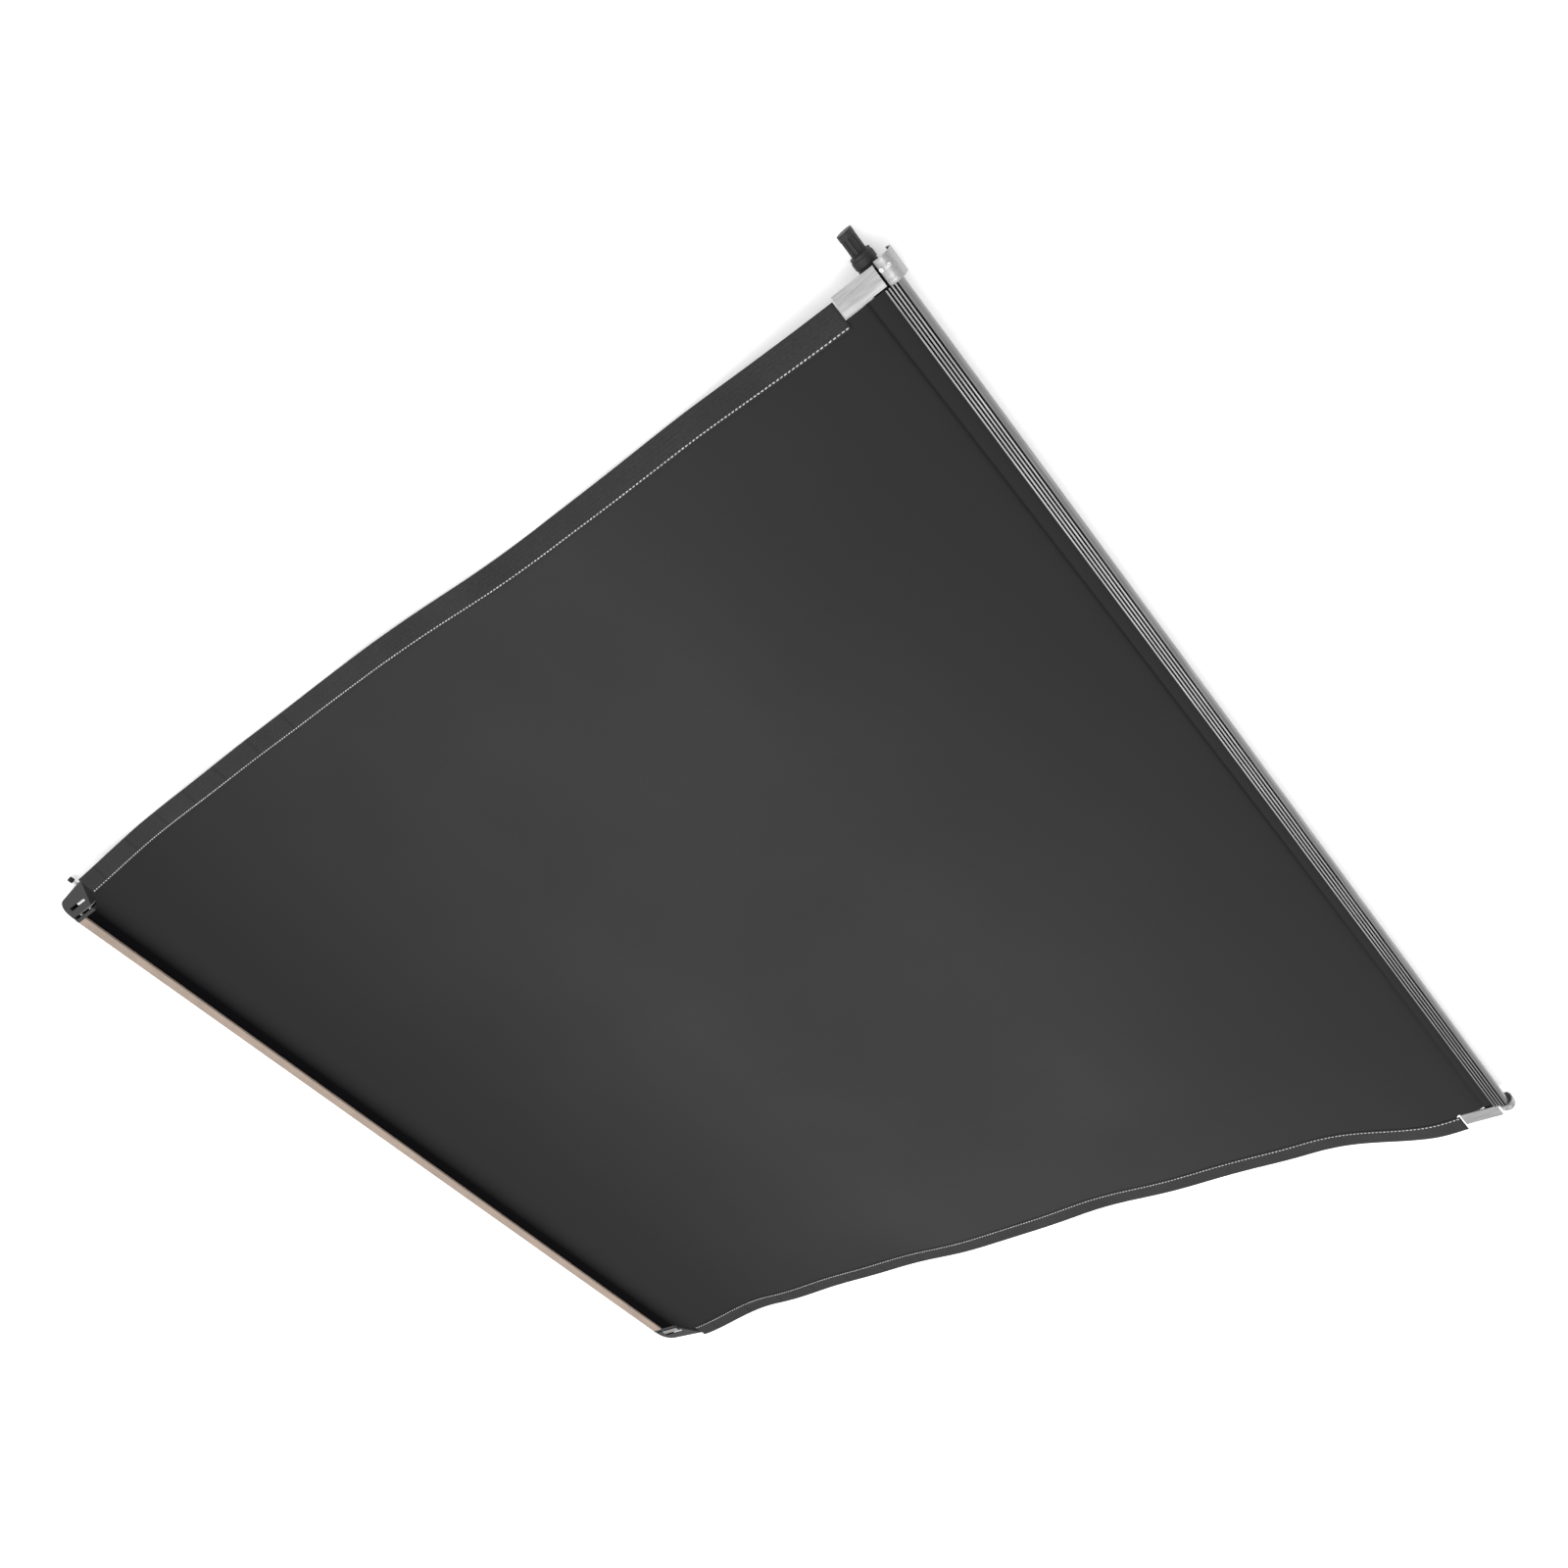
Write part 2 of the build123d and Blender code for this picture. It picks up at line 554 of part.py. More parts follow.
def make_rear_bar():
    """Hollow extrusion with a bead channel open at its top."""
    arc_y = REAR_Y - BAR_FRONT_R
    arc_z = BAR_TOP_Z - BAR_FRONT_R
    arc = CenterArc((arc_y, arc_z), BAR_FRONT_R, 0, 90)
    lines = Polyline((arc_y, BAR_TOP_Z), (bar_back, BAR_TOP_Z), (bar_back, 0), (REAR_Y, 0), (REAR_Y, arc_z))
    section = make_face(Curve() + [arc, lines])
    slit_mid = REAR_Y - sum(SLIT_V) / 2
    section -= Pos(slit_mid, REAR_CHANNEL_Z) * Circle(CHANNEL_R)
    slit_depth = BAR_TOP_Z - REAR_CHANNEL_Z
    section -= Pos(slit_mid, BAR_TOP_Z) * Rectangle(SLIT_V[1] - SLIT_V[0], 2 * slit_depth)
    for hollow in bar_cavities():
        section -= hollow
    bar = extrude(Plane.YZ.offset(-half_bar) * section, amount=REAR_BAR_LENGTH, dir=(1, 0, 0))
    for v in CAP_SCREW_V:
        for hole in both_sides(cap_screw_shank(v)):
            bar -= hole
    save("rear_bar", bar)


def make_bar_inserts():
    """Bead and sheet in the bar's channel, and the seal strip on its top."""
    end = half_bar - REAR_BEAD_INSET
    slit_mid = REAR_Y - sum(SLIT_V) / 2
    bead_top = REAR_CHANNEL_Z + 2.2
    bead = rod_x(BEAD_R, -end, end, slit_mid, REAR_CHANNEL_Z)
    bead -= block((-end, end), (slit_mid - CHANNEL_R, slit_mid + CHANNEL_R), (bead_top, BAR_TOP_Z))
    save("rear_bead", bead)
    strip_y = (REAR_Y - STRIP_V[1], REAR_Y - STRIP_V[0])
    save("tailgate_seal_strip", block((-half_bar, half_bar), strip_y, (BAR_TOP_Z, BAR_TOP_Z + STRIP_T)))

    lap_y = REAR_Y + 2
    top_z = (REAR_TOP_Z, REAR_TOP_Z + SHEET_T)
    tail_y = (slit_mid - SHEET_T / 2, slit_mid + SHEET_T / 2)
    sheet = strip((-end, end), (lap_y, sheet_spans()[-1][1]), SHEET_T)
    sheet += block((-end, end), (tail_y[0], lap_y), top_z)
    sheet += block((-end, end), tail_y, (bead_top, top_z[1]))
    save("cover_sheet_rear", sheet)


def lobe_outline():
    """Plan of the cap's outer lobe: slanted front and a big rounded rear corner."""
    inner, outer = -CAP_LOBE_X[0], -CAP_LOBE_X[1]
    front, rear = REAR_Y - CAP_V[0], REAR_Y - CAP_V[1]
    arc = CenterArc((outer + CAP_CORNER_R, rear + CAP_CORNER_R), CAP_CORNER_R, 180, 90)
    lines = Polyline((outer + CAP_CORNER_R, rear), (inner, rear), (inner, front),
                     (-CAP_EAR_X, REAR_Y - CAP_EAR_V), (outer, rear + CAP_CORNER_R))
    return make_face(Curve() + [arc, lines])


def cap_shell_left():
    """Lobe with a top that falls outwards, collar, low recess and plug."""
    lobe = extrude(lobe_outline(), amount=CAP_INNER_Z)
    inner, outer = -CAP_LOBE_X[0], -CAP_EAR_X
    front, rear = REAR_Y - CAP_EAR_V, REAR_Y - CAP_V[1]
    above = [(inner, CAP_INNER_Z), (outer, CAP_OUTER_Z), (outer, CAP_INNER_Z + 1), (inner, CAP_INNER_Z + 1)]
    lobe -= along_y(above, rear, front)
    collar_x = (-CAP_COLLAR_X[1], -CAP_COLLAR_X[0])
    collar = block(collar_x, (bar_back - 1, REAR_Y + 1), (0, CAP_COLLAR_Z))
    recess = block((-CAP_LOBE_X[0], collar_x[0]), (bar_back + 2, REAR_Y - 2), (0, RECESS_TOP_Z))
    recess += block((-CAP_LOBE_X[0], collar_x[0]), (rear, rear + REAR_WEB), (0, CAP_INNER_Z))
    wall = RAIL_WALL + CAP_PLUG_GAP
    plug_x = (collar_x[1], collar_x[1] + CAP_PLUG_LENGTH)
    plug = block(plug_x, (bar_back + wall, REAR_Y - wall), (wall, BAR_WEB_Z - CAP_PLUG_GAP))
    return lobe + collar + recess + plug


def rear_cap_left():
    """Moulded corner with the latch's slot, chamber, rod hole and finger window."""
    cap = cap_shell_left()
    for v in CAP_SCREW_V:
        cap -= cap_screw_shank(v)
    slot_y = (REAR_Y - SLOT_V[1], REAR_Y - SLOT_V[0])
    cap -= block((-SLOT_X[1], -SLOT_X[0]), slot_y, (CHAMBER_Z[1] - 1, CAP_INNER_Z + 1))
    chamber_y = (REAR_Y - CHAMBER_V[1], REAR_Y - CHAMBER_V[0])
    cap -= block((-CHAMBER_X[1], -CHAMBER_X[0]), chamber_y, CHAMBER_Z)
    rod_y_range = (chamber_y[1] - 1, REAR_Y - CAP_EAR_V + 1)
    cap -= rod_y(ROD_R + RUNNING_CLEARANCE, slot_mid, *rod_y_range, chamber_mid_z)
    window_y = (REAR_Y - FINGER_V[1] - LATCH_TRAVEL - FINGER_SIDE_GAP, REAR_Y - FINGER_V[0] + FINGER_SIDE_GAP)
    window_z = (FINGER_Z[0] - FINGER_TOP_GAP, FINGER_Z[1] + FINGER_TOP_GAP)
    cap -= block((-CAP_EAR_X - 1, -CHAMBER_X[1] + 1), window_y, window_z)
    return cap


def latch_slide_left():
    """Latch blade on its foot, with the release rod and the thumb finger."""
    y = (REAR_Y - LATCH_V[1], REAR_Y - LATCH_V[0])
    foot_x = (-CHAMBER_X[1] + LATCH_SLACK, -CHAMBER_X[0] - LATCH_SLACK)
    foot = block(foot_x, y, (CHAMBER_Z[0] + LATCH_SLACK, CHAMBER_Z[1] - LATCH_SLACK))
    blade_x = (slot_mid - BLADE_T / 2, slot_mid + BLADE_T / 2)
    blade = block(blade_x, y, (CHAMBER_Z[1] - 1, blade_top_z))
    rod = rod_y(ROD_R, slot_mid, y[1] - 1, REAR_Y + ROD_REACH, chamber_mid_z)
    rod += Pos(slot_mid, REAR_Y + ROD_REACH, chamber_mid_z) * Sphere(ROD_BALL_R)
    finger_y = (REAR_Y - FINGER_V[1], REAR_Y - FINGER_V[0])
    finger = block((-FINGER_TIP_X + PAD_LAP, -CHAMBER_X[1] + 1), finger_y, FINGER_Z)
    return foot + blade + rod + finger


def finger_pad_left():
    """Soft tip over the end of the latch finger."""
    y_mid = REAR_Y - sum(FINGER_V) / 2
    pad = rod_x(PAD_R, -FINGER_TIP_X - PAD_OVERHANG, -FINGER_TIP_X + PAD_LAP, y_mid, chamber_mid_z)
    return fillet(pad.edges().filter_by(GeomType.CIRCLE), PAD_R / 3)


def latch_spring_left():
    """Coil between the chamber's rear wall and the slide's foot."""
    length = CHAMBER_V[1] - LATCH_V[1] - 2.8 * LATCH_WIRE_R
    coil = spring(LATCH_COIL_R, LATCH_WIRE_R, length, LATCH_COIL_TURNS)
    start_y = REAR_Y - CHAMBER_V[1] + 1.4 * LATCH_WIRE_R
    return Pos(slot_mid, start_y, chamber_mid_z) * Rotation(-90, 0, 0) * coil


def latch_plate_left():
    """Bright plate that lines the inner wall of the latch lobe."""
    x = (-CAP_LOBE_X[0], -CAP_LOBE_X[0] + PLATE_T)
    y = (REAR_Y - LATCH_PLATE_V[1], REAR_Y - LATCH_PLATE_V[0])
    return block(x, y, (RECESS_TOP_Z, LATCH_PLATE_TOP_Z))


def latch_plate_right():
    """Like the left one, but carried up and folded over the top of its lobe."""
    y = (REAR_Y - FLANGE_V[1], REAR_Y - FLANGE_V[0])
    inner = CAP_LOBE_X[0] - PLATE_T
    upright = block((inner, CAP_LOBE_X[0]), y, (LATCH_PLATE_TOP_Z - 1, FLANGE_Z[1]))
    flange = block((inner, FLANGE_END_X), y, FLANGE_Z)
    return mirror(latch_plate_left(), about=Plane.YZ) + upright + flange


def make_rear_corners():
    left_pieces = {
        "rear_cap": rear_cap_left(),
        "latch_slide": latch_slide_left(),
        "latch_finger_pad": finger_pad_left(),
        "latch_spring": latch_spring_left(),
    }
    for name, left_piece in left_pieces.items():
        for side, piece in zip(("left", "right"), both_sides(left_piece)):
            save(f"{name}_{side}", piece)
    save("latch_plate_left", latch_plate_left())
    save("latch_plate_right", latch_plate_right())
    screws = []
    for v in CAP_SCREW_V:
        head_x = (-CAP_COLLAR_X[1] - CAP_HEAD_T, -CAP_COLLAR_X[1])
        head = rod_x(CAP_HEAD_R, *head_x, REAR_Y - v, CAP_SCREW_Z)
        screws += both_sides(head + cap_screw_shank(v))
    save("rear_cap_screws", *screws)


def main():
    os.makedirs("parts", exist_ok=True)
    make_sheet()
    make_header_rail()
    make_header_inserts()
    make_header_ends()
    make_spring_pin()
    make_rear_bar()
    make_bar_inserts()
    make_rear_corners()


main()
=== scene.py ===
# %% [markdown]
# # A soft roll-up tonneau cover
# The real object is one sheet of coated vinyl, as wide as a pickup's bed.  Its
# front edge is held in a grooved aluminium header rail, its rear edge in a bar
# with a latch at each end, and a hook-and-loop tape is sewn along each side.
# The metal and moulded pieces come from the imported CAD model and only need good
# finishes here.  The sheet, the tapes and the stitches are soft, so this script
# makes them, cut at the hinge lines where the cover rolls up.

# %% Load the frame
import json
from math import cos, exp, pi, radians, sin
import bpy
from mathutils import Matrix, Vector


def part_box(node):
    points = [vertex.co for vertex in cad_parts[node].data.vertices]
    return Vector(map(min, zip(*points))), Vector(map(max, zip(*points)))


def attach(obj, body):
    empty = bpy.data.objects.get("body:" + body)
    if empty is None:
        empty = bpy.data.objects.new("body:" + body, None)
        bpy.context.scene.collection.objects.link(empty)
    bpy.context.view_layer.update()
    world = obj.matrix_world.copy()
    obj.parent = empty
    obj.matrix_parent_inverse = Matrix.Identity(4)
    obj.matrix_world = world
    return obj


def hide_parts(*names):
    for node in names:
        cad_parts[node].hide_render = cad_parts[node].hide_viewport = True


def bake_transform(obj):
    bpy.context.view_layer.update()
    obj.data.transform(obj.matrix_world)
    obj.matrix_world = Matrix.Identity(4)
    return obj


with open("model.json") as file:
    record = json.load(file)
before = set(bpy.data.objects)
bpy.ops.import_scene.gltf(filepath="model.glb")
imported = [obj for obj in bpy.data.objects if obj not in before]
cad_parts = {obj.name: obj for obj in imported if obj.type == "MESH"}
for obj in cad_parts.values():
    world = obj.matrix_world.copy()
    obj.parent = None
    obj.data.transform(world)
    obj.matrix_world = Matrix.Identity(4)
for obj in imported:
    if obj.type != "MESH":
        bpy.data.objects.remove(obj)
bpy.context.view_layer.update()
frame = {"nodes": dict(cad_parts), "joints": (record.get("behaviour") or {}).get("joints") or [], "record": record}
MM = 0.001

# %% [markdown]
# ## Where the camera and the lights stand
# The cover lies on the floor and is seen from above one corner.  The camera is
# placed by four plain things: where it stands, the spot on the floor that it
# looks at, how far it is rolled, and its lens.  A rolled camera can't be aimed by
# a constraint alone, so the turn is worked out from those values.

# %% Camera
CAMERA_AT = Vector((-0.9937, 1.2491, 1.3403))
LOOKS_AT = Vector((-0.2748, 0.3343, 0.0))
CAMERA_ROLL = -164.9
LENS_MM = 29.4


def aim(start, target, roll=0.0):
    """Turn of a camera or lamp at start that looks at target."""
    facing = (target - start).to_track_quat("-Z", "Y").to_matrix()
    return (facing @ Matrix.Rotation(radians(roll), 3, "Z")).to_4x4()


camera_data = bpy.data.cameras.new("camera")
camera_data.lens = LENS_MM
camera = bpy.data.objects.new("camera", camera_data)
camera.matrix_world = Matrix.Translation(CAMERA_AT) @ aim(CAMERA_AT, LOOKS_AT, CAMERA_ROLL)
bpy.context.collection.objects.link(camera)
bpy.context.scene.camera = camera
print("camera", tuple(round(v, 3) for v in camera.matrix_world.translation), "lens", LENS_MM)


# %% Soft light
def soft_light(name, at, target, size, power):
    """A square lamp, large beside the object, so that its shadows are soft."""
    data = bpy.data.lights.new(name, "AREA")
    data.shape = "SQUARE"
    data.size = size
    data.energy = power
    lamp = bpy.data.objects.new(name, data)
    start = Vector(at)
    lamp.matrix_world = Matrix.Translation(start) @ aim(start, Vector(target))
    bpy.context.collection.objects.link(lamp)
    return lamp


world = bpy.data.worlds.new("studio")
world.use_nodes = True
world.node_tree.nodes["Background"].inputs["Color"].default_value = (1.0, 1.0, 1.0, 1.0)
world.node_tree.nodes["Background"].inputs["Strength"].default_value = 0.95
bpy.context.scene.world = world
soft_light("key_light", (0.9, 0.5, 2.6), (0.2, 0.2, 0.0), 2.4, 46.0)
soft_light("fill_light", (-0.4, -2.2, 2.4), (0.0, -0.5, 0.0), 2.0, 12.0)
bpy.context.scene.view_settings.view_transform = "Standard"

# %% [markdown]
# ## Finishes
# Every finish is a small tree of shader nodes.  What a surface shows is mostly
# three things: a colour that isn't quite even, a gloss that isn't quite even, and
# fine relief.  One function makes a finish from those three, and the special ones,
# such as brushed metal or ribbed tape, add their own pattern to it.  Rigid pieces
# read Object coordinates.  The sheet's own parts read an attribute named rest, the
# place of each point before the cover was rolled, so a pattern stays on the cloth.


# %% Finish helpers
class Finish:
    """A material whose colour, gloss and relief are built up one layer at a time."""

    def __init__(self, name, colour, rough, metal=0.0, soft=False):
        self.material = bpy.data.materials.new(name)
        self.material.use_nodes = True
        self.material.diffuse_color = (*colour, 1.0)
        self.nodes = self.material.node_tree.nodes
        self.links = self.material.node_tree.links
        self.shader = self.nodes["Principled BSDF"]
        self.shader.inputs["Metallic"].default_value = metal
        if soft:
            place = self.nodes.new("ShaderNodeAttribute")
            place.attribute_name = "rest"
            self.place = place.outputs["Vector"]
        else:
            self.place = self.nodes.new("ShaderNodeTexCoord").outputs["Object"]
        self.colour = self.constant(colour)
        self.rough = rough
        self.relief = None

    def constant(self, colour):
        node = self.nodes.new("ShaderNodeRGB")
        node.outputs[0].default_value = (*colour, 1.0)
        return node.outputs[0]

    def stretched(self, scale):
        node = self.nodes.new("ShaderNodeMapping")
        node.inputs["Scale"].default_value = scale
        self.links.new(self.place, node.inputs["Vector"])
        return node.outputs["Vector"]

    def noise(self, scale, detail=3.0, stretch=(1.0, 1.0, 1.0)):
        node = self.nodes.new("ShaderNodeTexNoise")
        node.inputs["Scale"].default_value = scale
        node.inputs["Detail"].default_value = detail
        self.links.new(self.stretched(stretch), node.inputs["Vector"])
        return node.outputs["Fac"]

    def remap(self, value, low, high, start=0.0, end=1.0):
        node = self.nodes.new("ShaderNodeMapRange")
        node.inputs["From Min"].default_value = start
        node.inputs["From Max"].default_value = end
        node.inputs["To Min"].default_value = low
        node.inputs["To Max"].default_value = high
        self.links.new(value, node.inputs["Value"])
        return node.outputs["Result"]

    def combine(self, first, second, operation="ADD"):
        """Two values or patterns joined by one operation of a Math node."""
        node = self.nodes.new("ShaderNodeMath")
        node.operation = operation
        for socket, value in zip(node.inputs, (first, second)):
            if isinstance(value, (int, float)):
                socket.default_value = value
            else:
                self.links.new(value, socket)
        return node.outputs["Value"]

    def axis(self, name):
        node = self.nodes.new("ShaderNodeSeparateXYZ")
        self.links.new(self.place, node.inputs[0])
        return node.outputs[name]

    def tint(self, factor, colour):
        """Mix the colour so far with another one, by a pattern."""
        node = self.nodes.new("ShaderNodeMix")
        node.data_type = "RGBA"
        self.links.new(factor, node.inputs["Factor"])
        self.links.new(self.colour, node.inputs[6])
        node.inputs[7].default_value = (*colour, 1.0)
        self.colour = node.outputs[2]
        return self

    def mottle(self, scale, amount, stretch=(1.0, 1.0, 1.0)):
        """Lighter and darker places, by a share of the colour itself."""
        factor = self.remap(self.noise(scale, 4.0, stretch), 1.0 - amount, 1.0 + amount, 0.25, 0.75)
        node = self.nodes.new("ShaderNodeVectorMath")
        node.operation = "SCALE"
        self.links.new(self.colour, node.inputs[0])
        self.links.new(factor, node.inputs["Scale"])
        self.colour = node.outputs[0]
        return self

    def gloss(self, scale, amount, stretch=(1.0, 1.0, 1.0)):
        low, high = self.rough - amount, self.rough + amount
        pattern = self.remap(self.noise(scale, 3.0, stretch), low, high, 0.3, 0.7)
        self.links.new(pattern, self.shader.inputs["Roughness"])
        return self

    def bump(self, height, depth):
        """Relief of a height pattern, depth in metres between its 0 and its 1."""
        node = self.nodes.new("ShaderNodeBump")
        node.inputs["Strength"].default_value = 1.0
        node.inputs["Distance"].default_value = depth
        self.links.new(height, node.inputs["Height"])
        if self.relief is not None:
            self.links.new(self.relief, node.inputs["Normal"])
        self.relief = node.outputs["Normal"]
        return self

    def rounded(self, radius):
        """Light that catches a moulded or folded edge."""
        node = self.nodes.new("ShaderNodeBevel")
        node.samples = 4
        node.inputs["Radius"].default_value = radius
        self.relief = node.outputs["Normal"]
        return self

    def done(self, **sockets):
        self.links.new(self.colour, self.shader.inputs["Base Color"])
        if not self.shader.inputs["Roughness"].is_linked:
            self.shader.inputs["Roughness"].default_value = self.rough
        if self.relief is not None:
            self.links.new(self.relief, self.shader.inputs["Normal"])
        for name, value in sockets.items():
            self.shader.inputs[name.replace("_", " ")].default_value = value
        return self.material


# %% [markdown]
# ### Metals
# Extruded and rolled aluminium has fine lines in the direction in which it was
# drawn.  A noise squeezed across those lines and pulled out along them gives both
# the uneven gloss and a very shallow relief.  The black bar is coated, so its
# lines don't show, and it has only the fine, even grain of the coat.


# %% Metal finishes
def drawn_metal(name, colour, rough, along=(0.02, 1.0, 1.0), lines=900.0, relief=0.00002, close=True):
    finish = Finish(name, colour, rough, metal=1.0)
    finish.mottle(lines, 0.22, along).mottle(18.0, 0.08).gloss(lines * 0.6, 0.1, along)
    finish.bump(finish.noise(lines, 2.0, along), relief)
    return finish.done() if close else finish


def coated_metal(name, colour, rough):
    finish = Finish(name, colour, rough, metal=0.0)
    finish.mottle(40.0, 0.15).gloss(260.0, 0.08)
    finish.bump(finish.noise(2400.0, 3.0), 0.00003)
    return finish.done(Specular_IOR_Level=0.4)


def plated_steel(name, colour, rough):
    finish = Finish(name, colour, rough, metal=1.0)
    finish.mottle(300.0, 0.18).gloss(700.0, 0.12)
    return finish.bump(finish.noise(1500.0, 3.0), 0.00002).done()


# Painted shade: the grooves between the header's lips are painted black towards their bottoms.
GROOVES_END = 15.6 * MM      # outer side of the last groove, in front of the first lip
GROOVE_SHADE_FROM = 0.8 * MM        # depth where a groove starts to go black
GROOVE_SHADE_FULL = 3.0 * MM          # depth where it is fully black
GROOVE_FLOOR = (4.5 * MM, 6.0 * MM)


def header_metal():
    """Drawn aluminium, with painted shade that makes the bottom of the grooves between the lips black."""
    finish = drawn_metal("mill_aluminium", (0.23, 0.23, 0.23), 0.4, close=False)
    top = rail_high[2]
    last_groove = lip_y + GROOVES_END
    deep = finish.remap(finish.axis("Z"), 1.0, 0.0, top - GROOVE_SHADE_FULL, top - GROOVE_SHADE_FROM)
    in_groove = finish.remap(finish.axis("Z"), 0.0, 1.0, top - GROOVE_FLOOR[1], top - GROOVE_FLOOR[0])
    under_lips = finish.remap(finish.axis("Y"), 1.0, 0.0, last_groove, last_groove + 0.4 * MM)
    # painted shade in the grooves
    painted_groove_shade = finish.combine(finish.combine(deep, in_groove, "MULTIPLY"), under_lips, "MULTIPLY")
    finish.tint(painted_groove_shade, (0.012, 0.012, 0.012))
    return finish.done()


rail_low, rail_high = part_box("header_rail")
lip_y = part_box("cover_sheet_front")[1][1] - 0.0019
mill_aluminium = header_metal()
plate_aluminium = drawn_metal("plate_aluminium", (0.37, 0.37, 0.37), 0.42, (1.0, 0.05, 1.0), 700.0)
black_aluminium = coated_metal("black_aluminium", (0.012, 0.012, 0.014), 0.42)
zinc_steel = plated_steel("zinc_steel", (0.72, 0.72, 0.71), 0.3)
spring_steel = plated_steel("spring_steel", (0.35, 0.35, 0.35), 0.36)
print("metals made")

# %% [markdown]
# ### Plastics, foams and rubber
# Glass-filled nylon is dull and slightly speckled, and a moulded piece has small
# rounded edges that catch the light.  Closed-cell foam is a field of tiny cells,
# which a Voronoi pattern gives.  The tan seal at the tailgate has a smooth skin
# with a fine pull along its length.


# %% Plastic, foam and rubber finishes
def moulded(name, colour, rough, grain):
    finish = Finish(name, colour, rough).rounded(0.0005)
    finish.mottle(70.0, 0.18).mottle(grain, 0.12).gloss(grain * 0.4, 0.1)
    return finish.bump(finish.noise(grain, 3.0), 0.00006).done(Specular_IOR_Level=0.45)


def foam(name, colour, rough, cell, stretch=(1.0, 1.0, 1.0)):
    finish = Finish(name, colour, rough)
    cells = finish.nodes.new("ShaderNodeTexVoronoi")
    cells.inputs["Scale"].default_value = cell
    finish.links.new(finish.stretched(stretch), cells.inputs["Vector"])
    finish.mottle(22.0, 0.1).mottle(400.0, 0.08, stretch).gloss(200.0, 0.06)
    return finish.bump(cells.outputs["Distance"], 0.00012).done(Specular_IOR_Level=0.25)


black_nylon = moulded("black_nylon", (0.013, 0.0125, 0.0135), 0.55, 1400.0)
pad_rubber = moulded("pad_rubber", (0.018, 0.018, 0.018), 0.75, 800.0)
bead_cord = moulded("bead_cord", (0.03, 0.03, 0.03), 0.5, 600.0)
seal_foam_tan = foam("seal_foam_tan", (0.33, 0.262, 0.215), 0.7, 700.0, (0.25, 1.0, 1.0))
seal_foam_black = foam("seal_foam_black", (0.012, 0.012, 0.012), 0.9, 500.0)
print("plastics and foams made")

# %% Put the finishes on the CAD pieces
finish_of_slot = {
    "mill_aluminium": mill_aluminium, "plate_aluminium": plate_aluminium,
    "black_aluminium": black_aluminium, "zinc_steel": zinc_steel,
    "spring_steel": spring_steel, "black_nylon": black_nylon, "pad_rubber": pad_rubber,
    "bead_cord": bead_cord, "seal_foam_tan": seal_foam_tan, "seal_foam_black": seal_foam_black,
}
for subpart in frame["record"]["subparts"]:
    finish = finish_of_slot.get(subpart["material_slot"])
    if finish is not None:
        node = frame["nodes"][subpart["node"]]
        node.data.materials.clear()
        node.data.materials.append(finish)
print("CAD pieces finished")

# %% [markdown]
# ## The lie of the sheet
# The sheet could be dropped by a cloth simulation, but it hangs only between two
# straight rails and a flat floor, so its shape follows a rule, and a formula gives
# the same shape every time.  It leaves the header's ledge level, drops in one soft
# slope to the floor, and rises again to the rear bar.  Behind the header's first
# lip it turns over the rail's back edge, which leaves a crease and a soft ridge.
# Its two side edges wander a little, and lift off the floor in slow waves.

# %% Measures of the sheet, from the frame
sheet_low, sheet_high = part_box("cover_sheet_front")
rear_low, rear_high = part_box("cover_sheet_rear")
bar_low, bar_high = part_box("rear_bar")
middle_x = (rail_low[0] + rail_high[0]) / 2
half_width = (sheet_high[0] - sheet_low[0]) / 2
ledge_edge_y = rail_low[1]
bar_front_y = bar_high[1]
slit_y = rear_low[1]
floor_top_z = 2.0 * MM
ledge_top_z = 34.2 * MM
bar_sheet_z = rear_high[2]
roll_joints = [joint for joint in frame["joints"] if joint["name"].startswith("roll_hinge")]
hinge_ys = sorted((joint["pos_m"][1] for joint in roll_joints), reverse=True)
panel = hinge_ys[0] - hinge_ys[1]
print("sheet", round(2 * half_width, 3), "m wide;", len(hinge_ys), "hinge lines")
print("a panel is", round(panel, 3), "m long")


# %% Height and edges of the sheet
def smooth(t):
    t = min(max(t, 0.0), 1.0)
    return t * t * (3 - 2 * t)


def bell(distance, width):
    return exp(-(distance / width) ** 2)


FRONT_DROP = 0.23           # length of the slope behind the header
REAR_RISE = 0.241           # length of the slope before the rear bar
LEDGE_REACH = 0.0647         # level part of the sheet behind the lip
REAR_LAP = 0.004             # level part in front of the rear bar
front_top_y = lip_y - LEDGE_REACH
rear_top_y = bar_front_y + REAR_LAP


def rest_height(y):
    """Top of the sheet where nothing else lifts it."""
    front = smooth((y - front_top_y + FRONT_DROP) / FRONT_DROP)
    rear = smooth((rear_top_y + REAR_RISE - y) / REAR_RISE)
    return floor_top_z + front * (ledge_top_z - floor_top_z) + rear * (bar_sheet_z - floor_top_z)


def off_the_rails(y):
    """0 where a rail holds the sheet, and 1 away from both."""
    return smooth((ledge_edge_y - y) / 0.09) * smooth((y - bar_front_y) / 0.06)


RIDGE_HEIGHT = 0.0022
RIDGE_BEHIND = 0.018        # of the ridge, behind the crease
RIDGE_WIDTH = 0.014
CREASE_DEPTH = 0.0014
CREASE_WIDTH = 0.0028


def crease_at(x):
    """Distance behind the lip of the crease over the rail's back edge."""
    along = (x - middle_x + half_width) / (2 * half_width)
    return 0.0125 + 0.0115 * exp(-2.2 * along)


def header_crease(x, y):
    """Dip over the rail's back edge, then the soft ridge that the fold leaves."""
    behind = lip_y - y - crease_at(x)
    ridge = RIDGE_HEIGHT * bell(behind - RIDGE_BEHIND, RIDGE_WIDTH)
    return ridge - CREASE_DEPTH * bell(behind, CREASE_WIDTH)


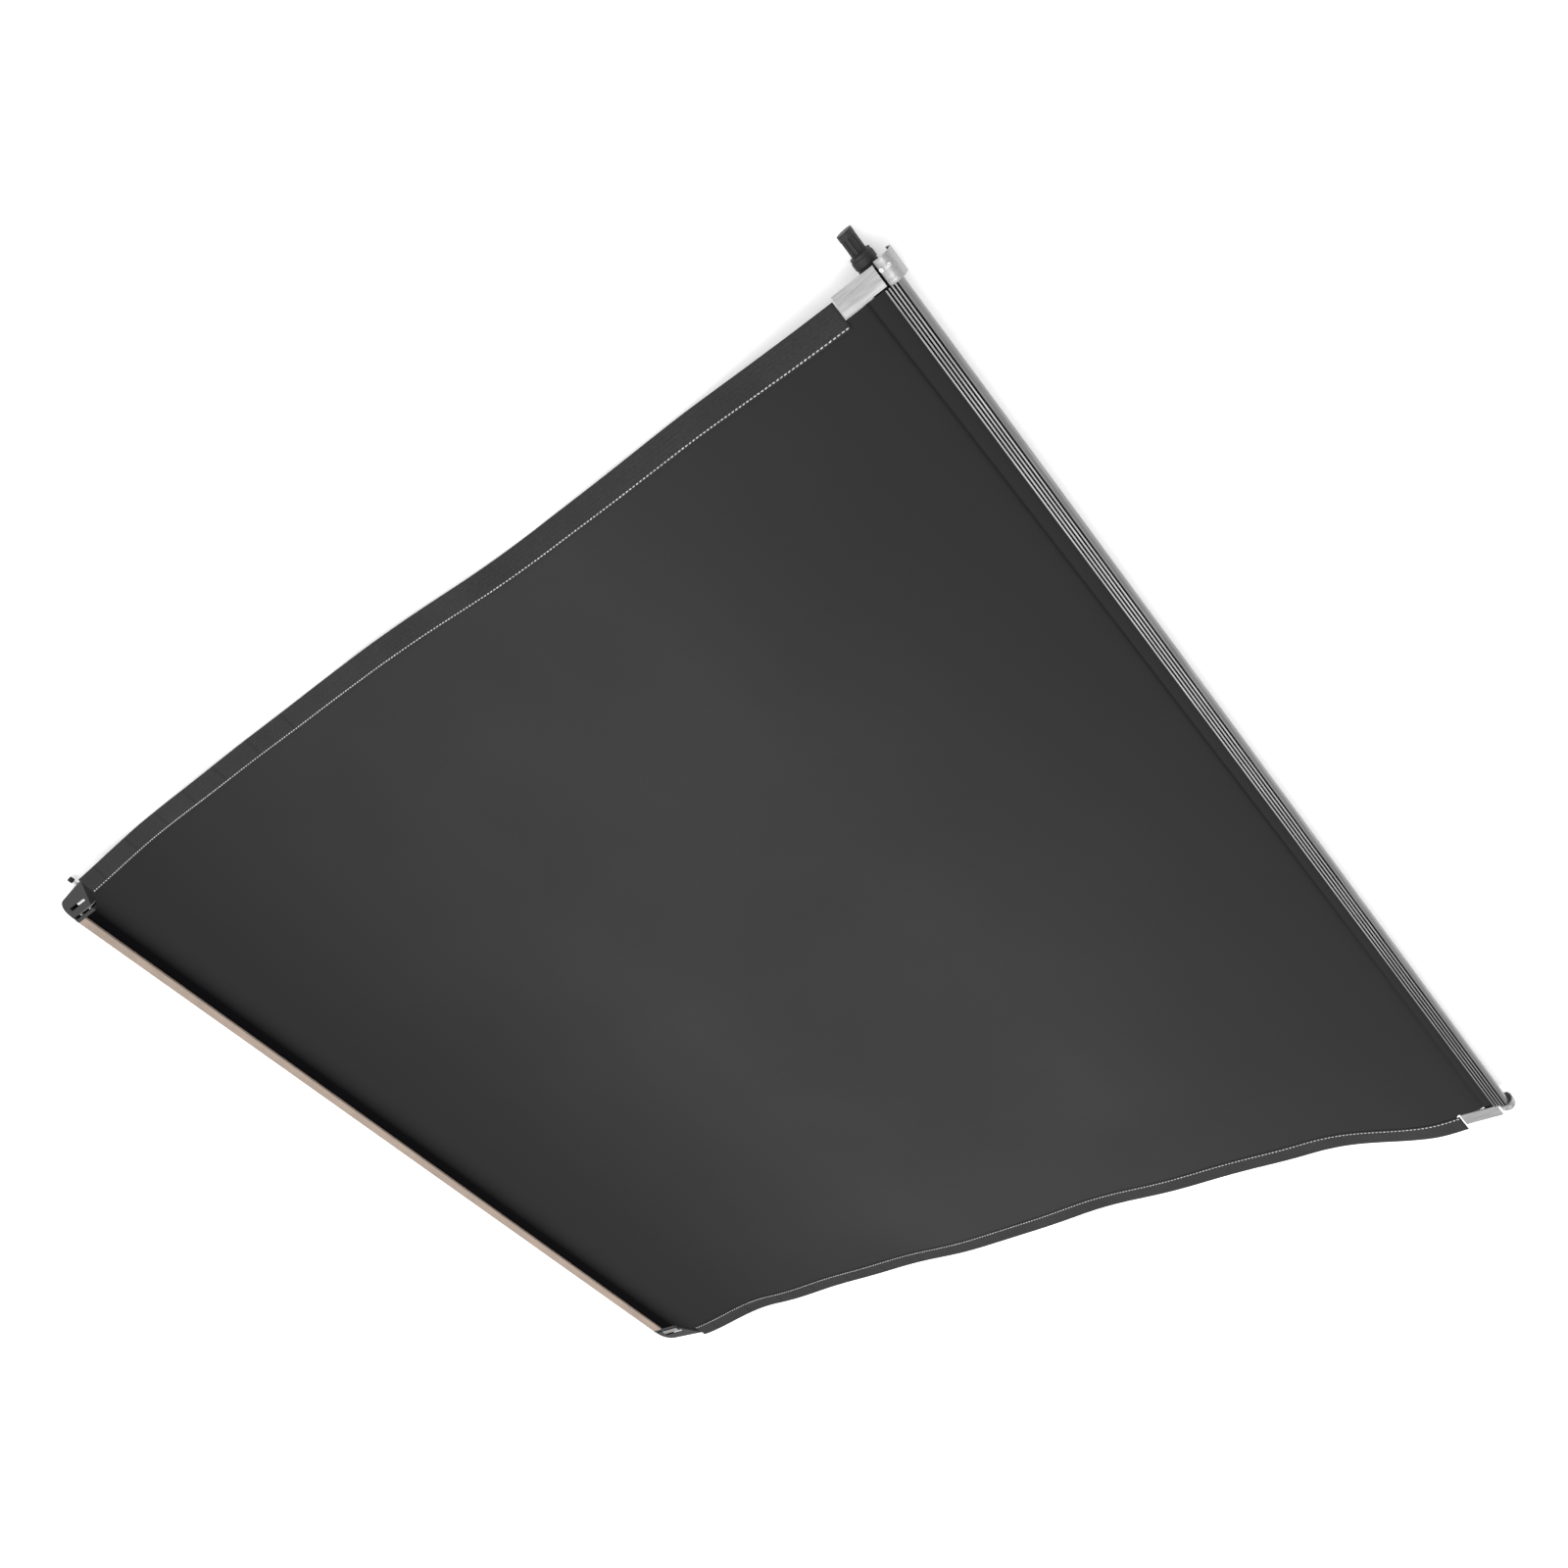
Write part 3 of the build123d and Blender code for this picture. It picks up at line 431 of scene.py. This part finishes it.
def swell(x, y):
    """Slow rise and fall of the loose sheet."""
    u, v = x - middle_x, y
    waves = 0.0016 * (1 + sin(5.1 * u + 3.2 * v + 0.6)) + 0.0009 * (1 + sin(2.4 * u - 7.3 * v))
    return waves * off_the_rails(y)


def hem_wave(side, y):
    """Lift of a side edge; the two sides have waves of their own."""
    phase = 0.7 if side < 0 else 2.4
    wave = 0.0022 * (1 + sin(13.0 * y + phase)) + 0.0012 * (1 + sin(29.0 * y + 2 * phase))
    return wave * off_the_rails(y)


def seam_x(side, y):
    """Distance of a stitched seam from the cover's middle: pulled in behind the
    header, and let out again towards the rear bar."""
    behind = lip_y - y
    if side < 0:
        shift = -0.011 + 0.018 * smooth((behind - 0.525) / 0.38)
        shift += 0.005 * smooth((behind - 0.875) / 0.45) - 0.003 * smooth((behind - 1.475) / 0.2)
    else:
        shift = 0.003 - 0.005 * smooth((behind - 0.255) / 0.15)
        shift += 0.010 * smooth((behind - 0.675) / 0.22) + 0.002 * smooth((behind - 1.155) / 0.3)
    return half_width + shift


def sheet_top(x, y):
    side = -1 if x < middle_x else 1
    edge = smooth((abs(x - middle_x) / half_width - 0.72) / 0.28)
    z = rest_height(y) + header_crease(x, y) + swell(x, y) * (1 - edge)
    return z + edge * hem_wave(side, y)


print("height at the header, the middle and the bar:",
      [round(sheet_top(middle_x, y) / MM, 1) for y in (lip_y, 0.0, bar_front_y)])

# %% [markdown]
# ## Cutting the cover at its hinge lines
# The cover rolls up from the rear bar.  In the frame this is a chain of bodies
# with a hinge line between each pair.  A soft piece may bend across one joint
# only, so the sheet is cut half way between the hinge lines: each part spans one
# hinge.  Neighbours share the same points along their cut.

# %% Spans of the cover
chain = ["header"] + [f"roll_{n}" for n in range(1, len(hinge_ys))] + ["rear"]


def make_spans():
    """Name, front, rear and the two bodies of each part, from the header back."""
    cuts = [y + panel / 2 for y in hinge_ys] + [bar_front_y + 0.005]
    spans = [("front", None, cuts[0], "header", "header")]
    for n in range(len(hinge_ys)):
        spans.append((f"bend_{n + 1}", cuts[n], cuts[n + 1], chain[n], chain[n + 1]))
    return spans + [("rear", cuts[-1], None, "rear", "rear")]


spans = make_spans()
STEP = 0.0075


def rows_between(front, rear, step=STEP):
    count = max(1, round((front - rear) / step))
    return [front + (rear - front) * n / count for n in range(count + 1)]


def join_to_bodies(piece, span):
    """Ride on one body; a part across the hinge between two only has its place baked in."""
    name, front, rear, body, next_body = span
    if body == next_body:
        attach(piece, body)
    else:
        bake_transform(piece)


print([span[0] for span in spans])


# %% A closed skin from two grids
def new_piece(name, points, faces, material, normals=None):
    """Mesh object at the origin that remembers where its points lie at rest."""
    mesh = bpy.data.meshes.new(name)
    mesh.from_pydata(points, [], faces)
    mesh.shade_smooth()
    if normals is not None:
        mesh.normals_split_custom_set_from_vertices(normals)
    remember_rest(mesh)
    mesh.materials.append(material)
    piece = bpy.data.objects.new(name, mesh)
    bpy.context.collection.objects.link(piece)
    return piece


def remember_rest(mesh):
    rest = mesh.attributes.new("rest", "FLOAT_VECTOR", "POINT")
    rest.data.foreach_set("vector", [c for v in mesh.vertices for c in v.co])


def grid_faces(rows, columns, offset=0, flip=False):
    faces = []
    for r in range(rows - 1):
        for c in range(columns - 1):
            a = offset + r * columns + c
            corners = (a, a + columns, a + columns + 1, a + 1)
            faces.append(corners[::-1] if flip else corners)
    return faces


def closed_sheet(rows, columns):
    """Faces of a top grid, a bottom grid of the same size, and the rim between."""
    size = rows * columns
    faces = grid_faces(rows, columns) + grid_faces(rows, columns, size, flip=True)
    front = list(range(columns))
    right = [r * columns + columns - 1 for r in range(rows)]
    rear = [size - 1 - c for c in range(columns)]
    left = [size - columns - r * columns for r in range(rows)]
    for edge in (front, right, rear, left):
        for a, b in zip(edge, edge[1:]):
            faces.append((a, b, b + size, a + size))
    return faces


# %% [markdown]
# ### The vinyl
# Coated vinyl is smooth and matt, with a very fine grain.  Close to the rear bar
# it is stretched over the bar and faces away from the light, and a painted shade
# makes its colour almost black there, fading over a few centimetres.  Painted
# shade also darkens it towards the rear and the front, and along the header's crease.

# %% Vinyl finish
VINYL = (0.0365, 0.0365, 0.037)
# Painted shade: colour that the vinyl is painted towards at the rear and the front, where the light falls off
# along the cover.
PAINTED_SHADE_FAR = (0.023, 0.023, 0.0235)
# Painted shade: near-black colour painted in front of the rear bar and along the header's crease.
SHADE_VINYL = (0.0010, 0.0010, 0.0015)
REAR_SHADE_SPAN = (-0.75, -0.15)  # along the cover: darker towards the first value
FRONT_SHADE_FROM = 0.35
# Painted shade: the band in front of the rear bar that is painted almost black.
BAR_SHADE_BAND = (-0.008, 0.077) # from the rear bar's front
BAR_SHADE_FALL = 2.3
# Painted shade: how dark the crease behind the header is painted.
CREASE_SHADE_AMOUNT = 0.5


def make_vinyl():
    finish = Finish("cover_vinyl", VINYL, 0.66, soft=True)
    finish.mottle(2.2, 0.10).mottle(650.0, 0.05).gloss(900.0, 0.05)
    along = finish.axis("Y")
    # painted shade towards the rear and towards the front
    rear_shade = finish.remap(along, 1.0, 0.0, *REAR_SHADE_SPAN)
    front_shade = finish.remap(along, 0.0, 0.9, FRONT_SHADE_FROM, lip_y)
    finish.tint(finish.combine(rear_shade, front_shade), PAINTED_SHADE_FAR)
    # painted shade in front of the rear bar
    band = [bar_front_y + offset for offset in BAR_SHADE_BAND]
    bar_shade = finish.remap(along, 1.0, 0.0, *band)
    finish.tint(finish.combine(bar_shade, BAR_SHADE_FALL, "POWER"), SHADE_VINYL)
    # painted shade along the crease, from the crease attribute
    crease = finish.nodes.new("ShaderNodeAttribute")
    crease.attribute_name = "crease"
    finish.tint(finish.combine(crease.outputs["Fac"], CREASE_SHADE_AMOUNT, "MULTIPLY"), SHADE_VINYL)
    finish.bump(finish.noise(1800.0, 4.0), 0.00004)
    return finish.done(Specular_IOR_Level=0.015)


cover_vinyl = make_vinyl()

# %% Sheet parts
SHEET_THICK = 1.2 * MM
HEM_ALLOWANCE = 6.0 * MM
bar_half_width = (bar_high[0] - bar_low[0]) / 2
COLUMNS = 141


def sheet_reach(side, y):
    """Half width of the vinyl, narrower between the end plates and the caps."""
    if y > ledge_edge_y - 0.035:
        return half_width - 0.001
    on_bar = bar_half_width - 0.0008
    free = seam_x(side, y) + HEM_ALLOWANCE
    return on_bar + (free - on_bar) * smooth((y - bar_front_y - 0.003) / 0.038)


def sheet_row(y):
    """One row of points across the cover, closer together near the edges."""
    row = []
    for c in range(COLUMNS):
        u = -cos(pi * c / (COLUMNS - 1)) * 0.25 + (2 * c / (COLUMNS - 1) - 1) * 0.75
        x = middle_x + u * sheet_reach(-1 if u < 0 else 1, y)
        row.append(Vector((x, y, sheet_top(x, y))))
    return row


def top_normal(point):
    d = 0.002
    dx = sheet_top(point.x + d, point.y) - sheet_top(point.x - d, point.y)
    dy = sheet_top(point.x, point.y + d) - sheet_top(point.x, point.y - d)
    return Vector((-dx, -dy, 2 * d)).normalized()


CREASE_SHADE_WIDTH = 1.3 * MM
CREASE_SHADE_FADE = 0.8             # share of the mark that is gone at the right side


def painted_crease_shade(point):
    """Painted shade of the crease at a point, fading towards the right side."""
    along = (point.x - middle_x) / half_width
    return bell(lip_y - point.y - crease_at(point.x), CREASE_SHADE_WIDTH) * (1 - CREASE_SHADE_FADE * smooth(along))


def make_sheet_part(span):
    name, front, rear, body, next_body = span
    ys = rows_between(lip_y + 0.0015 if front is None else front, slit_y if rear is None else rear)
    if name == "front":
        fine = rows_between(ys[0], lip_y - 0.045, 0.00125)
        ys = fine + rows_between(fine[-1], rear)[1:]
    top = [p for y in ys for p in sheet_row(y)]
    normals = [top_normal(p) for p in top]
    under = [p - n * SHEET_THICK for p, n in zip(top, normals)]
    faces = closed_sheet(len(ys), COLUMNS)
    piece = new_piece(f"vinyl_{name}", top + under, faces, cover_vinyl, normals + [-n for n in normals])
    # painted shade of the crease, kept as an attribute of each point
    crease = piece.data.attributes.new("crease", "FLOAT", "POINT")
    crease.data.foreach_set("value", [painted_crease_shade(p) for p in top + under])
    length = ys[0] - ys[-1]
    return piece, length


sheet_parts = {}
for span in spans:
    piece, length = make_sheet_part(span)
    sheet_parts[span[0]] = piece
    print(piece.name, len(piece.data.polygons), "faces,", round(length, 3), "m long")

# %% [markdown]
# ## The side tapes
# Each tape is a woven hook-and-loop band, sewn on top of the sheet's edge.  Its
# weave shows as fine lines along its length, so its section has a row of small
# ridges.  A bevelled curve would give the same band, but a section carried along
# the seam keeps its rows in step with the cuts at the hinge lines.

# %% Tape finish
TAPE_WIDTH = 33.0 * MM
TAPE_THICK = 1.5 * MM
TAPE_RIDGES = 7
TAPE_COLUMNS = 43


def make_webbing():
    finish = Finish("tape_webbing", (0.030, 0.030, 0.0305), 0.85, soft=True)
    finish.mottle(9.0, 0.14).mottle(1500.0, 0.30, (1.0, 0.12, 1.0)).gloss(500.0, 0.06)
    finish.bump(finish.noise(1300.0, 3.0, (1.0, 0.25, 1.0)), 0.0003)
    finish.bump(finish.noise(3200.0, 2.0), 0.0002)
    return finish.done(Specular_IOR_Level=0.2)


tape_webbing = make_webbing()


# %% Tape parts
def tape_point(side, y, across, lift):
    """A point of a tape: across runs from its seam edge, 0, to its outer edge, 1."""
    inner = seam_x(side, y)
    x = middle_x + side * (inner + across * TAPE_WIDTH)
    base_x = middle_x + side * min(inner + across * TAPE_WIDTH, half_width)
    droop = 0.0008 * smooth((across - 0.3) / 0.5)
    return Vector((x, y, sheet_top(base_x, y) + lift - droop))


def tape_section(side, y):
    """Ridged top and flat underside of a tape, as one row of points each."""
    top, under = [], []
    for c in range(TAPE_COLUMNS):
        across = c / (TAPE_COLUMNS - 1)
        ridge = 0.00022 * cos(2 * pi * TAPE_RIDGES * across)
        rounding = 0.0006 * (bell(across, 0.03) + bell(1 - across, 0.03))
        top.append(tape_point(side, y, across, TAPE_THICK + ridge - rounding))
        under.append(tape_point(side, y, across, 0.0001))
    if side < 0:
        return top[::-1], under[::-1]
    return top, under


tape_ends = (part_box("side_tapes_front")[1][1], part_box("side_tapes_roll_6")[0][1])


def span_rows(span, ends, step=STEP):
    """Rows of a span, kept between the two ends of what is sewn there."""
    front = ends[0] if span[1] is None else min(span[1], ends[0])
    rear = ends[1] if span[2] is None else max(span[2], ends[1])
    return rows_between(front, rear, step) if front - rear > 0.002 else []


def make_tape_part(span, side):
    ys = span_rows(span, tape_ends)
    if not ys:
        return None
    rows = [tape_section(side, y) for y in ys]
    points = [p for top, under in rows for p in top] + [p for top, under in rows for p in under]
    side_name = "left" if side < 0 else "right"
    faces = closed_sheet(len(ys), TAPE_COLUMNS)
    piece = new_piece(f"tape_{side_name}_{span[0]}", points, faces, tape_webbing)
    return piece, ys[0] - ys[-1]


tape_parts = {}
for span in spans:
    for side in (-1, 1):
        made = make_tape_part(span, side)
        if made is not None:
            tape_parts[span[0], side] = made
print(len(tape_parts), "tape parts")

# %% [markdown]
# ## The stitches
# A lockstitch shows as a row of short thread dashes, each dipping into its needle
# hole.  Hundreds of them follow the seam, which is what Geometry Nodes are for:
# the tree turns a path into a curve, sets points along it at the stitch pitch,
# and puts one small thread shape on each, turned along the seam.

# %% Thread finish
def make_thread():
    finish = Finish("thread", (0.62, 0.62, 0.60), 0.8, soft=True)
    finish.mottle(160.0, 0.35).gloss(900.0, 0.08)
    return finish.bump(finish.noise(4000.0, 2.0, (1.0, 0.4, 1.0)), 0.0001).done(Specular_IOR_Level=0.3)


thread = make_thread()


# %% Stitch tree
def stitch_tree():
    """Geometry Nodes: path in, one mesh of thread dashes out."""
    tree = bpy.data.node_groups.new("stitch_row", "GeometryNodeTree")
    face = tree.interface
    face.new_socket("Path", in_out="INPUT", socket_type="NodeSocketGeometry")
    for name, value in (("Pitch", 0.0058), ("Stitch length", 0.0043), ("Thread", 0.0015)):
        face.new_socket(name, in_out="INPUT", socket_type="NodeSocketFloat").default_value = value
    face.new_socket("Seed", in_out="INPUT", socket_type="NodeSocketInt").default_value = 5
    face.new_socket("Finish", in_out="INPUT", socket_type="NodeSocketMaterial")
    face.new_socket("Stitches", in_out="OUTPUT", socket_type="NodeSocketGeometry")
    new, join = tree.nodes.new, tree.links.new
    source, result = new("NodeGroupInput"), new("NodeGroupOutput")
    curve, spaced = new("GeometryNodeMeshToCurve"), new("GeometryNodeResampleCurve")
    spaced.mode = "LENGTH"
    join(source.outputs["Path"], curve.inputs["Mesh"])
    join(curve.outputs["Curve"], spaced.inputs["Curve"])
    join(source.outputs["Pitch"], spaced.inputs["Length"])
    ball = new("GeometryNodeMeshUVSphere")
    ball.inputs["Segments"].default_value = 8
    ball.inputs["Rings"].default_value = 6
    ball.inputs["Radius"].default_value = 0.5
    size = new("ShaderNodeCombineXYZ")
    shape = new("GeometryNodeTransform")
    join(source.outputs["Thread"], size.inputs["X"])
    join(source.outputs["Thread"], size.inputs["Y"])
    join(source.outputs["Stitch length"], size.inputs["Z"])
    join(ball.outputs["Mesh"], shape.inputs["Geometry"])
    join(size.outputs["Vector"], shape.inputs["Scale"])
    tangent, turn = new("GeometryNodeInputTangent"), new("FunctionNodeAlignRotationToVector")
    join(tangent.outputs["Tangent"], turn.inputs["Vector"])
    wobble, spread = new("FunctionNodeRandomValue"), new("FunctionNodeRotateRotation")
    wobble.data_type = "FLOAT_VECTOR"
    wobble.inputs[0].default_value = (-0.05, -0.05, 0.0)
    wobble.inputs[1].default_value = (0.05, 0.16, 0.0)
    join(source.outputs["Seed"], wobble.inputs["Seed"])
    spread.rotation_space = "LOCAL"
    join(turn.outputs["Rotation"], spread.inputs["Rotation"])
    join(wobble.outputs[0], spread.inputs["Rotate By"])
    place, real = new("GeometryNodeInstanceOnPoints"), new("GeometryNodeRealizeInstances")
    paint, smooth_faces = new("GeometryNodeSetMaterial"), new("GeometryNodeSetShadeSmooth")
    join(spaced.outputs["Curve"], place.inputs["Points"])
    join(shape.outputs["Geometry"], place.inputs["Instance"])
    join(spread.outputs["Rotation"], place.inputs["Rotation"])
    join(place.outputs["Instances"], real.inputs["Geometry"])
    join(real.outputs["Geometry"], smooth_faces.inputs["Geometry"])
    join(smooth_faces.outputs["Geometry"], paint.inputs["Geometry"])
    join(source.outputs["Finish"], paint.inputs["Material"])
    join(paint.outputs["Geometry"], result.inputs["Stitches"])
    return tree


stitches = stitch_tree()
socket_of = {s.name: s.identifier for s in stitches.interface.items_tree if s.in_out == "INPUT"}
print("stitch tree inputs:", list(socket_of))


# %% Bake a tree's result to a plain mesh
def bake(name, points, edges, tree, values):
    """Run a tree on a path and keep only the mesh that it makes."""
    path = bpy.data.meshes.new(name + "_path")
    path.from_pydata(points, edges, [])
    holder = bpy.data.objects.new(name + "_path", path)
    bpy.context.collection.objects.link(holder)
    modifier = holder.modifiers.new("tree", "NODES")
    modifier.node_group = tree
    for key, value in values.items():
        modifier[key] = value
    evaluated = holder.evaluated_get(bpy.context.evaluated_depsgraph_get())
    mesh = bpy.data.meshes.new_from_object(evaluated)
    mesh.name = name
    bpy.data.objects.remove(holder)
    remember_rest(mesh)
    piece = bpy.data.objects.new(name, mesh)
    bpy.context.collection.objects.link(piece)
    return piece


SEAM_INSET = 2.6 * MM
stitch_ends = (tape_ends[0] - 0.004, tape_ends[1] + 0.004)


def seam_path(span):
    """Points and edges of both seams in one span."""
    points, edges = [], []
    for side in (-1, 1):
        ys = span_rows(span, stitch_ends)
        start = len(points)
        points += [tape_point(side, y, SEAM_INSET / TAPE_WIDTH, TAPE_THICK + 0.0001) for y in ys]
        edges += [(start + n, start + n + 1) for n in range(len(ys) - 1)]
    return points, edges


def make_stitches(span, number):
    points, edges = seam_path(span)
    if not edges:
        return None
    values = {socket_of["Seed"]: 5 + number, socket_of["Finish"]: thread}
    piece = bake(f"stitches_{span[0]}", points, edges, stitches, values)
    return piece


stitch_parts = {}
for number, span in enumerate(spans):
    made = make_stitches(span, number)
    if made is not None:
        stitch_parts[span[0]] = made
        print(made.name, len(made.data.polygons), "faces")

# %% [markdown]
# ## Joining the soft pieces to the frame
# Each soft piece now stands for the plain CAD solids in its place, which are
# hidden.  A piece within one body rides on that body; a piece across a hinge
# stays where it lies at rest.

# %% Replace and ride
replaced_by_vinyl = {"front": "cover_sheet_front", "rear": "cover_sheet_rear"}
replaced_by_tape = {"front": "side_tapes_front"}
for n in range(1, len(hinge_ys)):
    replaced_by_vinyl[f"bend_{n}"] = f"cover_sheet_roll_{n}"
    replaced_by_tape[f"bend_{n}"] = f"side_tapes_roll_{n}"

for span in spans:
    name = span[0]
    vinyl = sheet_parts[name]
    if name in replaced_by_vinyl:
        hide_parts(replaced_by_vinyl[name])
    join_to_bodies(vinyl, span)
    for side in (-1, 1):
        if (name, side) in tape_parts:
            tape, length = tape_parts[name, side]
            if name in replaced_by_tape:
                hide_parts(replaced_by_tape[name])
            join_to_bodies(tape, span)
    if name in stitch_parts:
        join_to_bodies(stitch_parts[name], span)
print("soft pieces joined:", len(sheet_parts) + len(tape_parts) + len(stitch_parts))

# %% [markdown]
# ## The springs
# A compression spring shortens as its pin or latch is pushed in: one end stays
# with the fixed piece and the other goes with the moving one.  A coil that rode
# on one body would be pushed through the other, so each coil is taken from the
# CAD node as a mesh of its own.

# %% Coils as meshes of their own
def soft_coil(node, axis):
    """Mesh of a CAD spring, copied as a piece of its own in place of the hidden CAD node."""
    source = frame["nodes"][node]
    mesh = source.data.copy()
    mesh.transform(source.matrix_world)
    coil = bpy.data.objects.new(f"{node}_coil", mesh)
    bpy.context.collection.objects.link(coil)
    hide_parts(node)
    low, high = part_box(node)
    middle = (Vector(low) + Vector(high)) / 2
    ends = [middle.copy(), middle.copy()]
    ends[0][axis] = low[axis]
    ends[1][axis] = high[axis]
    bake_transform(coil)
    return coil


X_AXIS, Y_AXIS = 0, 1
coils = [soft_coil("header_pin_spring", X_AXIS)]
for side in ("left", "right"):
    coils.append(soft_coil(f"latch_spring_{side}", Y_AXIS))
print("coils:", [coil.name for coil in coils])

# %% [markdown]
# ## The floor
# A plain pale floor, large enough that its edge is never seen.  It gives off a
# little light, as a light table does, so that shadows on it stay pale.  It isn't
# part of the object.

# %% Floor
floor_mesh = bpy.data.meshes.new("floor")
FLOOR = 20.0                 # half of the floor's side
FLOOR_GLOW = 0.35
corners = [(-FLOOR, -FLOOR, 0), (FLOOR, -FLOOR, 0), (FLOOR, FLOOR, 0), (-FLOOR, FLOOR, 0)]
floor_mesh.from_pydata(corners, [], [(0, 1, 2, 3)])
floor = bpy.data.objects.new("floor", floor_mesh)
bpy.context.collection.objects.link(floor)
pale = Finish("pale_floor", (0.92, 0.92, 0.92), 0.9).mottle(3.0, 0.01)
pale.shader.inputs["Emission Color"].default_value = (1.0, 1.0, 1.0, 1.0)
floor_mesh.materials.append(pale.done(Specular_IOR_Level=0.0, Emission_Strength=FLOOR_GLOW))
